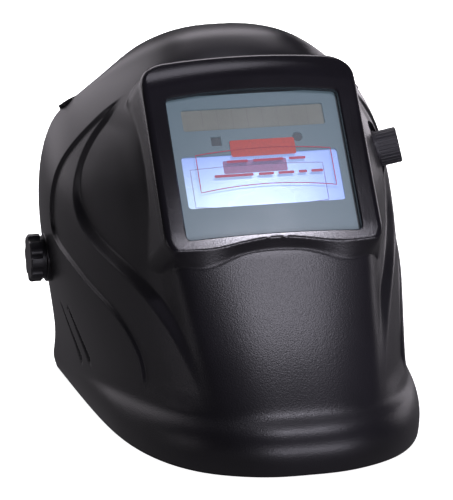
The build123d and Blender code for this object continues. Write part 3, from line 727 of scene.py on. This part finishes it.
def textured_shell(name, colour, plain, coarse, polished):
    """Shell moulding: sand-blasted chin, finer texture behind, nearly smooth hood face."""
    m = Nodes(name)
    place = m.add("ShaderNodeSeparateXYZ", {"Vector": m.place})
    low = m.spread(place.outputs["Z"], *CHIN_FADE_Z, 1, 0)
    chin = m.math("MULTIPLY", low, m.spread(place.outputs["Y"], *CHIN_FADE_Y, 1, 0))
    middle, _, out = face_axes()
    middle = np.asarray(at_place(middle[None]))[0]
    proud = m.add("ShaderNodeVectorMath", {0: m.place, 1: (0.0, float(out[1]), float(out[2]))},
                  operation="DOT_PRODUCT").outputs["Value"]
    level = float(middle[1] * out[1] + middle[2] * out[2])
    face = m.spread(proud, level - HOOD_FADE[0], level - HOOD_FADE[1], 0, 1)
    face = m.math("MULTIPLY", face, m.math("SUBTRACT", 1.0, low))
    flow = m.noise(9.0, 4.0)
    colour = np.array(colour)
    blotch = m.spread(flow, 0.35, 0.65, 0, 1)
    m.wire("Base Color", m.between(blotch, colour * 0.65, colour * 1.35))
    fine = m.noise(1250.0, 2.0)
    height = m.math("ADD", fine, m.math("MULTIPLY", m.cells(1000.0), 0.6))
    m.wire("Normal", m.bump(height, m.spread(chin, 0, 1, 0.00003, 0.00008)))
    gloss = m.math("MULTIPLY_ADD", chin, coarse - plain, plain)
    gloss = m.math("MULTIPLY_ADD", face, polished - plain, gloss)
    gloss = m.math("ADD", gloss, m.spread(flow, 0.3, 0.7, -0.02, 0.02))
    m.wire("Roughness", m.math("ADD", gloss, m.math("MULTIPLY", fine, 0.04)))
    return m.material


def clear_plastic(name, colour, alpha, roughness):
    """Clear sheet: faint smears and a little haze, most of the light passes."""
    m = Nodes(name)
    smear = m.noise(26.0, 5.0, 0.7)
    colour = np.array(colour)
    m.wire("Base Color", m.between(smear, colour * 0.92, np.minimum(colour * 1.08, 1)))
    m.wire("Roughness", m.spread(smear, 0.3, 0.8, roughness, roughness + 0.05))
    m.wire("Alpha", m.spread(smear, 0.3, 0.7, alpha * 0.93, alpha * 1.07))
    m.put(Specular_IOR_Level=0.1)
    return m.material


def metal(name, colour, roughness):
    """Turned or plated metal with fine scratches that all run one way."""
    m = Nodes(name)
    streak = m.add("ShaderNodeMapping", {"Vector": m.place, "Scale": (1.0, 0.15, 1.0)})
    lines = m.noise(900.0, 3.0, place=streak.outputs["Vector"])
    colour = np.array(colour)
    m.wire("Base Color", m.between(lines, colour * 0.8, np.minimum(colour * 1.1, 1)))
    m.wire("Roughness", m.spread(lines, 0.3, 0.7, roughness - 0.06, roughness + 0.1))
    m.wire("Normal", m.bump(lines, 0.00003))
    m.put(Metallic=1.0)
    return m.material


def woven(name, colour):
    """Close plain weave over foam, with fuzz and sheen."""
    m = Nodes(name)
    wave = {"Vector": m.place, "Scale": 420.0, "Distortion": 0.6, "Detail": 1.0}
    warp = m.add("ShaderNodeTexWave", wave, bands_direction="X").outputs["Fac"]
    weft = m.add("ShaderNodeTexWave", wave, bands_direction="Z").outputs["Fac"]
    threads = m.math("MAXIMUM", warp, weft)
    fuzz = m.noise(2600.0, 2.0)
    soil = m.noise(30.0, 4.0)
    colour = np.array(colour)
    m.wire("Base Color", m.between(m.math("MULTIPLY", threads, soil), colour * 0.6, colour * 2.2))
    m.wire("Normal", m.bump(m.math("ADD", threads, m.math("MULTIPLY", fuzz, 0.5)), 0.00022))
    m.wire("Roughness", m.spread(fuzz, 0.3, 0.7, 0.82, 0.95))
    m.put(Sheen_Weight=0.35, Sheen_Roughness=0.5)
    return m.material


def ink_and_painted_reflection(name, colour, alpha):
    """Screen-printed colour with slightly uneven cover, for the print and also for its painted
    reflection on the glass.
    """
    m = Nodes(name)
    cover = m.noise(700.0, 3.0)
    colour = np.array(colour)
    m.wire("Base Color", m.between(cover, colour * 0.85, np.minimum(colour * 1.15, 1)))
    m.wire("Alpha", m.spread(cover, 0.3, 0.7, alpha * 0.9, alpha))
    m.wire("Roughness", m.spread(cover, 0.3, 0.7, 0.35, 0.45))
    return m.material


def bands(m, axis, pitch, share):
    """0 to 1 stripes across an axis of the object, `share` of each pitch being 1."""
    part = m.add("ShaderNodeSeparateXYZ", {"Vector": m.place}).outputs[axis]
    phase = m.math("FRACT", m.math("DIVIDE", m.math("ADD", part, 1.0), pitch))
    return m.math("LESS_THAN", phase, share)


def cell_strip(name):
    """Amorphous solar cell: brown-grey stripes under clear lacquer."""
    m = Nodes(name)
    lines = bands(m, "X", pitch=0.0089, share=0.03)
    cloud = m.noise(45.0, 3.0)
    base = m.between(cloud, (0.24, 0.24, 0.18), (0.31, 0.315, 0.25))
    m.wire("Base Color", m.between(lines, base, (0.215, 0.21, 0.165)))
    m.wire("Roughness", m.spread(cloud, 0.3, 0.7, 0.28, 0.36))
    return m.material


def coated_glass_painted_glow(name):
    """Interference coating in front of the shutter: pale blue, whiter low on one side, with a
    painted glow in the same tints though it is no lamp.
    """
    m = Nodes(name)
    parts = m.add("ShaderNodeSeparateXYZ", {"Vector": m.place})
    side = m.spread(parts.outputs["X"], -0.03, 0.045, 0.0, 1.0)
    rise = m.spread(parts.outputs["Z"], 0.140, 0.158, 0.0, 1.0)
    cloud = m.noise(24.0, 2.0)
    shift = m.math("ADD", m.math("MULTIPLY", m.math("MAXIMUM", side, rise), 0.8),
                   m.math("MULTIPLY", cloud, 0.3))
    m.wire("Base Color", m.between(shift, (0.26, 0.33, 0.43), (0.13, 0.18, 0.40)))
    # Painted glow: emission lets the glass give off light in these tints, though it is no lamp.
    m.wire("Emission Color", m.between(shift, (0.58, 0.79, 1.0), (0.33, 0.46, 1.0)))
    m.wire("Roughness", m.spread(cloud, 0.3, 0.7, 0.24, 0.30))
    m.put(Metallic=0.35, Emission_Strength=0.85)
    return m.material


PLATE_MIDDLE_X = -0.0022
# Beyond this half width the plate is black, painted shade of the deep gap round the window opening.
PLATE_CLEAR_HALF_W = 0.0525        # blue-grey up to here, black beyond


def face_plate_painted_light(name):
    """Cartridge face: satin blue-grey with a faint painted glow, and a black border at its edge
    that is painted shade of the deep gap round the window opening.
    """
    m = Nodes(name)
    parts = m.add("ShaderNodeSeparateXYZ", {"Vector": m.place})
    away = m.math("ABSOLUTE", m.math("SUBTRACT", parts.outputs["X"], PLATE_MIDDLE_X))
    border = m.math("GREATER_THAN", away, PLATE_CLEAR_HALF_W)
    cloud = m.noise(30.0, 3.0)
    base = m.between(cloud, (0.065, 0.100, 0.120), (0.080, 0.120, 0.140))
    m.wire("Base Color", m.between(border, base, (0.004, 0.004, 0.005)))
    grain = m.noise(1600.0, 2.0)
    m.wire("Normal", m.bump(grain, 0.00002))
    m.wire("Roughness", m.spread(cloud, 0.3, 0.7, 0.34, 0.42))
    # Painted glow: the blue-grey part gives off a little light though it is no lamp; the black
    # border gives none.
    m.wire("Emission Strength", m.spread(border, 0, 1, 0.10, 0.0))
    m.put(Emission_Color=(0.5, 0.8, 1.0, 1))
    return m.material


def board_material(name):
    """Solder mask with fine copper tracks under it."""
    m = Nodes(name)
    across = bands(m, "X", pitch=0.0021, share=0.35)
    along = bands(m, "Z", pitch=0.0034, share=0.3)
    patch = m.math("GREATER_THAN", m.noise(160.0, 1.0), 0.5)
    tracks = m.math("ADD", m.math("MULTIPLY", across, patch),
                    m.math("MULTIPLY", along, m.math("SUBTRACT", 1.0, patch)))
    m.wire("Base Color", m.between(tracks, (0.012, 0.10, 0.035), (0.03, 0.20, 0.07)))
    m.wire("Normal", m.bump(tracks, 0.00003))
    m.wire("Roughness", m.spread(m.noise(300.0), 0.3, 0.7, 0.3, 0.42))
    return m.material


MATERIALS = {
    "shell": lambda: textured_shell("moulded_nylon", (0.0105, 0.0095, 0.0125), 0.32, 0.38, 0.13),
    "cover_lens": lambda: clear_plastic("clear_polycarbonate", (0.30, 0.36, 0.38), 0.06, 0.20),
    "film": lambda: clear_plastic("clear_film", (0.30, 0.37, 0.40), 0.10, 0.24),
    "filter_case": lambda: face_plate_painted_light("cartridge_plastic_painted_glow_and_shade"),
    "filter_glass": lambda: coated_glass_painted_glow("coated_glass_painted_glow"),
    "shutter": lambda: moulded("shutter_stack", (0.30, 0.38, 0.50), 0.12, 2500.0, 0.00001),
    "solar": lambda: cell_strip("solar_cell"),
    "sensor": lambda: moulded("sensor_window", (0.060, 0.072, 0.084), 0.24, 2500.0, 0.00001),
    "board": lambda: board_material("circuit_board"),
    "battery": lambda: metal("cell_steel", (0.62, 0.62, 0.64), 0.28),
    "component": lambda: moulded("component_plastic", (0.02, 0.035, 0.08), 0.35, 1800.0, 0.00003),
    "dial": lambda: moulded("dial_plastic", (0.022, 0.022, 0.024), 0.42, 1700.0, 0.00004),
    "inner_lens": lambda: clear_plastic("inner_polycarbonate", (0.70, 0.76, 0.78), 0.10, 0.04),
    "holder": lambda: moulded("holder_plastic", (0.020, 0.020, 0.022), 0.45, 1500.0, 0.00005),
    "screw": lambda: metal("zinc_plate", (0.66, 0.66, 0.68), 0.30),
    "knob": lambda: moulded("knob_plastic", (0.020, 0.019, 0.023), 0.40, 1700.0, 0.00003),
    "brass": lambda: metal("turned_brass", (0.72, 0.55, 0.24), 0.25),
    "band": lambda: moulded("band_plastic", (0.030, 0.030, 0.032), 0.42, 1300.0, 0.00005),
    "pad": lambda: woven("pad_cloth", (0.050, 0.050, 0.055)),
    "washer": lambda: moulded("acetal", (0.50, 0.50, 0.48), 0.40, 1500.0, 0.00002, 0.05),
}
made_materials = {}


def slot_material(slot):
    if slot not in made_materials:
        made_materials[slot] = MATERIALS[slot]()
    return made_materials[slot]


def dress(piece, slot):
    """Gives a piece the material of one of the record's slots."""
    piece.data.materials.clear()
    piece.data.materials.append(slot_material(slot))


def dress_cad_nodes():
    for row in frame["record"]["subparts"]:
        node = NODES[row["node"]]
        node.data.materials.clear()
        node.data.materials.append(slot_material(row["material_slot"]))


# ---- print on the film, and its painted reflection on the glass ----------------------------------
FILM_FRONT = -5.55        # front of the film in the face frame, mm
GLASS_FRONT = -7.7
PRINT_AND_REFLECTION_GAP = 0.006
PRINT_AND_REFLECTION_T = 0.025


def bowed(p0, p1, q, rise, steps=24):
    """Points along a line that arches upwards in its middle."""
    share = np.linspace(0, 1, steps)
    return np.column_stack([p0 + (p1 - p0) * share, q + rise * 4 * share * (1 - share)])


def print_and_reflection_patch(outline, base):
    """A closed patch from a counter-clockwise outline, for the print and for its painted
    reflection.
    """
    low = face_to_frame(lifted(outline, base))
    high = face_to_frame(lifted(outline, base + PRINT_AND_REFLECTION_T))
    count = len(outline)
    faces = [list(range(count))[::-1], list(range(count, 2 * count))]
    for k in range(count):
        n = (k + 1) % count
        faces.append([k, n, count + n, count + k])
    return np.concatenate([low, high]), faces


def print_and_reflection_line(path, width, base):
    """A closed ribbon along a closed path, for the print and for its painted reflection."""
    path = np.asarray(path)
    ahead = np.roll(path, -1, 0) - np.roll(path, 1, 0)
    side = np.column_stack([-ahead[:, 1], ahead[:, 0]])
    side = side / np.linalg.norm(side, axis=1, keepdims=True) * width / 2
    count = len(path)
    loops = [lifted(path + side, base), lifted(path - side, base),
             lifted(path - side, base + PRINT_AND_REFLECTION_T), lifted(path + side, base + PRINT_AND_REFLECTION_T)]
    points = np.concatenate([face_to_frame(loop) for loop in loops])
    faces = []
    for ring in range(4):
        after = (ring + 1) % 4
        for k in range(count):
            n = (k + 1) % count
            faces.append([ring * count + k, after * count + k, after * count + n, ring * count + n])
    return points, faces


def joined(name, parts):
    points = []
    faces = []
    start = 0
    for part_points, part_faces in parts:
        points.append(part_points)
        faces += [[start + i for i in face] for face in part_faces]
        start += len(part_points)
    piece = new_piece(name, np.concatenate(points), faces, smooth=False)
    outward_faces(piece)
    return piece


def label_outline(p0, p1, q0, q1, rise_low, rise_high):
    low = bowed(p0, p1, q0, rise_low)
    high = bowed(p0, p1, q1, rise_high)[::-1]
    left = np.column_stack([np.full(8, p0), np.linspace(q1, q0, 10)[1:-1]])
    right = np.column_stack([np.full(8, p1), np.linspace(q0, q1, 10)[1:-1]])
    return np.concatenate([low, right, high, left])


def build_print():
    """The film's generic print: a bar, a thin frame and plain dashes in place of words, and a faint
    pink copy of frame and bar on the glass behind, a painted reflection of that print.
    """
    base = FILM_FRONT + PRINT_AND_REFLECTION_GAP
    bar = joined("film_print_bar", [print_and_reflection_patch(rounded_box(-16.6, 21.6, 9.8, 20.4, 1.2), base)])
    frame_line = label_outline(-37.5, 42.0, -11.5, 12.2, 3.4, 2.6)
    parts = [print_and_reflection_line(frame_line, 0.55, base)]
    words = (
        (6.2, ((-20.0, -7.5), (-4.5, 13.5), (16.5, 26.5))),
        (-2.6, ((-28.5, -5.5), (-2.5, 6.5), (9.0, 18.5), (21.0, 26.0), (28.5, 35.5))),
    )
    for q, spans in words:
        for p0, p1 in spans:
            parts.append(print_and_reflection_patch(rounded_box(p0, p1, q, q + 1.7, 0.8), base))
    lines = joined("film_print_lines", parts)
    # A faint pink copy of the frame and bar on the glass: a painted reflection of the film's print.
    base = GLASS_FRONT + PRINT_AND_REFLECTION_GAP
    painted_reflection_outline = label_outline(-41.5, 36.5, -19.6, 4.2, -1.6, 1.2)
    painted_reflection = joined("glass_painted_reflection_lines", [print_and_reflection_line(painted_reflection_outline, 0.45, base)])
    painted_reflection_bar = joined("glass_painted_reflection_bar", [print_and_reflection_patch(rounded_box(-22, 15.5, 0.4, 8.6, 1.0), base)])
    red = ink_and_painted_reflection("red_ink", (0.62, 0.055, 0.035), 0.85)
    crimson = ink_and_painted_reflection("crimson_ink", (0.60, 0.03, 0.10), 0.75)
    faint = ink_and_painted_reflection("faint_painted_reflection", (0.80, 0.25, 0.50), 0.30)
    pink = ink_and_painted_reflection("pink_painted_reflection", (0.80, 0.16, 0.36), 0.50)
    for piece, look in ((bar, red), (lines, crimson), (painted_reflection, faint), (painted_reflection_bar, pink)):
        piece.data.materials.append(look)
        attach(piece, "helmet")


# ---- soft pads -----------------------------------------------------------------------------------
def copied(node, name):
    piece = bpy.data.objects.new(name, NODES[node].data.copy())
    bpy.context.scene.collection.objects.link(piece)
    return piece


def coordinates(mesh):
    flat = np.zeros(len(mesh.vertices) * 3, np.float32)
    mesh.vertices.foreach_get("co", flat)
    return flat.reshape(-1, 3).astype(float)


def vertex_normals(mesh):
    flat = np.zeros(len(mesh.vertices) * 3, np.float32)
    mesh.vertex_normals.foreach_get("vector", flat)
    return flat.reshape(-1, 3).astype(float)


def set_coordinates(mesh, points):
    mesh.vertices.foreach_set("co", np.asarray(points, np.float32).ravel())
    mesh.update()


PAD_VOXEL = 0.0022
PAD_SHRINK = 0.0012
PAD_PUFF = 0.0022         # farthest that the cloth may swell, metres
PAD_PRESSURE = 3.0
PAD_FRAMES = 20


def padded_piece(node, name):
    """A stuffed pad: the plain solid, shrunk, then puffed by a short cloth simulation."""
    piece = copied(node, name)
    remesh = piece.modifiers.new("remesh", "REMESH")
    remesh.mode = "VOXEL"
    remesh.voxel_size = PAD_VOXEL
    applied(piece)
    start = coordinates(piece.data) - vertex_normals(piece.data) * PAD_SHRINK
    set_coordinates(piece.data, start)
    cloth = piece.modifiers.new("cloth", "CLOTH")
    cloth.settings.use_pressure = True
    cloth.settings.uniform_pressure_force = PAD_PRESSURE
    cloth.settings.effector_weights.gravity = 0
    cloth.settings.quality = 4
    cloth.point_cache.frame_start = 1
    cloth.point_cache.frame_end = PAD_FRAMES
    for step in range(1, PAD_FRAMES + 1):
        bpy.context.scene.frame_set(step)
    applied(piece)
    moved = coordinates(piece.data) - start
    reach = np.linalg.norm(moved, axis=1, keepdims=True)
    moved = moved * np.minimum(1, PAD_PUFF / np.maximum(reach, 1e-9))
    set_coordinates(piece.data, start + moved)
    bpy.context.scene.frame_set(1)
    smooth = piece.modifiers.new("smooth", "SUBSURF")
    smooth.levels = 1
    smooth.render_levels = 1
    applied(piece)
    piece.data.shade_smooth()
    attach(piece, "headgear")
    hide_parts(node)
    dress(piece, "pad")


# ---- stage, camera and lights --------------------------------------------------------------------
STAGE_SIZE = 6.0
FLOOR_Z = -0.0004
WALL_Z = -0.001


def stage_corners(z):
    low, high = -STAGE_SIZE, STAGE_SIZE
    return [(low, low, z), (high, low, z), (high, high, z), (low, high, z)]


def stage_piece(name, points, faces, material):
    """Part of the white sweep: seen by the camera, but lighting nothing and not reflected."""
    piece = new_piece(name, points, faces, smooth=False)
    piece.data.materials.append(material)
    piece.visible_glossy = False
    piece.visible_diffuse = False
    return piece


def build_stage():
    m = Nodes("pale_floor")
    cloud = m.noise(2.0, 2.0)
    m.wire("Base Color", m.between(cloud, (0.90, 0.90, 0.905), (0.93, 0.93, 0.935)))
    m.wire("Roughness", m.spread(cloud, 0.3, 0.7, 0.75, 0.85))
    m.put(Emission_Color=(1, 1, 1, 1), Emission_Strength=0.97)
    floor = stage_piece("floor", stage_corners(FLOOR_Z), [[0, 1, 2, 3]], m.material)
    corners = stage_corners(WALL_Z) + stage_corners(STAGE_SIZE)
    sides = [[0, 1, 5, 4], [1, 2, 6, 5], [2, 3, 7, 6], [3, 0, 4, 7], [4, 5, 6, 7]]
    backdrop = stage_piece("backdrop", corners, sides, m.material)
    backdrop.visible_shadow = False


def softbox(name, place, aim, width, height, power, tint):
    data = bpy.data.lights.new(name, "AREA")
    data.shape = "RECTANGLE"
    data.size = width
    data.size_y = height
    data.energy = power
    data.color = tint
    lamp = bpy.data.objects.new(name, data)
    bpy.context.scene.collection.objects.link(lamp)
    lamp.location = place
    lamp.visible_camera = False
    lamp.rotation_mode = "QUATERNION"
    lamp.rotation_quaternion = (Vector(aim) - Vector(place)).to_track_quat("-Z", "Y")
    return lamp


MIDDLE = (0, -0.05, 0.12)
CHIN = (0, -0.12, 0.09)
WHITE = (1, 1, 1)
PINK = (0.98, 0.92, 1.0)
COOL = (0.90, 0.87, 1.0)
# name, place, aim, width, height, watts, tint
LAMPS = (
    ("chin_strip", (0.072, -0.268, 0.41), CHIN, 0.06, 0.06, 0.62, COOL),
    ("hood_top", (0.06, 0.10, 1.0), MIDDLE, 0.3, 0.2, 0.42, COOL),
    ("back_top", (0.25, 1.25, 1.1), MIDDLE, 0.8, 0.5, 3.3, PINK),
    ("backdrop_left", (-0.75, 1.45, 0.75), MIDDLE, 1.3, 0.8, 4.5, PINK),
    ("low_left", (-0.75, 1.4, 0.15), MIDDLE, 0.9, 0.3, 0.8, PINK),
    ("low_right", (0.95, 1.3, 0.15), MIDDLE, 0.9, 0.3, 1.9, PINK),
    ("rim_right", (1.3, 0.6, 0.3), MIDDLE, 0.4, 0.5, 1.1, PINK),
    ("left", (-1.5, 0.1, 0.15), MIDDLE, 0.5, 0.3, 0.6, PINK),
    ("front_low", (0.3, -1.5, 0.12), MIDDLE, 1.0, 0.2, 9.0, COOL),
    ("rear_fill", (0.4, 1.7, 0.9), MIDDLE, 1.2, 0.8, 45, WHITE),
    ("floor_glow", (0, 0, 0.0006), (0, 0, 1), 4.0, 4.0, 6.0, PINK),
)


def build_lights():
    world = bpy.data.worlds.new("studio")
    bpy.context.scene.world = world
    world.use_nodes = True
    sky = world.node_tree.nodes["Background"]
    sky.inputs["Color"].default_value = (0.92, 0.92, 1.0, 1)
    sky.inputs["Strength"].default_value = 0.03
    lamps = {lamp[0]: softbox(*lamp) for lamp in LAMPS}
    lamps["rear_fill"].visible_glossy = False


CAMERA_AT = (-0.34865, -1.56816, 0.47867)
CAMERA_AIM = (0.20779, 0.94898, -0.23801)
CAMERA_ROLL = -0.96                # degrees
CAMERA_LENS = 196.9                # millimetres on a 36 mm wide sensor


def build_camera():
    data = bpy.data.cameras.new("camera")
    data.lens = CAMERA_LENS
    data.sensor_width = 36.0
    data.clip_start = 0.05
    data.clip_end = 60.0
    camera = bpy.data.objects.new("camera", data)
    bpy.context.scene.collection.objects.link(camera)
    camera.location = CAMERA_AT
    aim = Vector(CAMERA_AIM).to_track_quat("-Z", "Y").to_matrix().to_4x4()
    roll = Matrix.Rotation(math.radians(CAMERA_ROLL), 4, "Z")
    camera.rotation_mode = "QUATERNION"
    camera.rotation_quaternion = (aim @ roll).to_quaternion()
    bpy.context.scene.camera = camera


# ---- build ---------------------------------------------------------------------------------------
build_camera()
build_lights()
build_stage()
dress_cad_nodes()
moulding = build_shell()
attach(moulding, "helmet")
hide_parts("shell")
dress(moulding, "shell")
build_print()
padded_piece("sweatband", "sweatband_pad")
padded_piece("rear_pad", "nape_pad")
bpy.context.scene.view_settings.view_transform = "Standard"
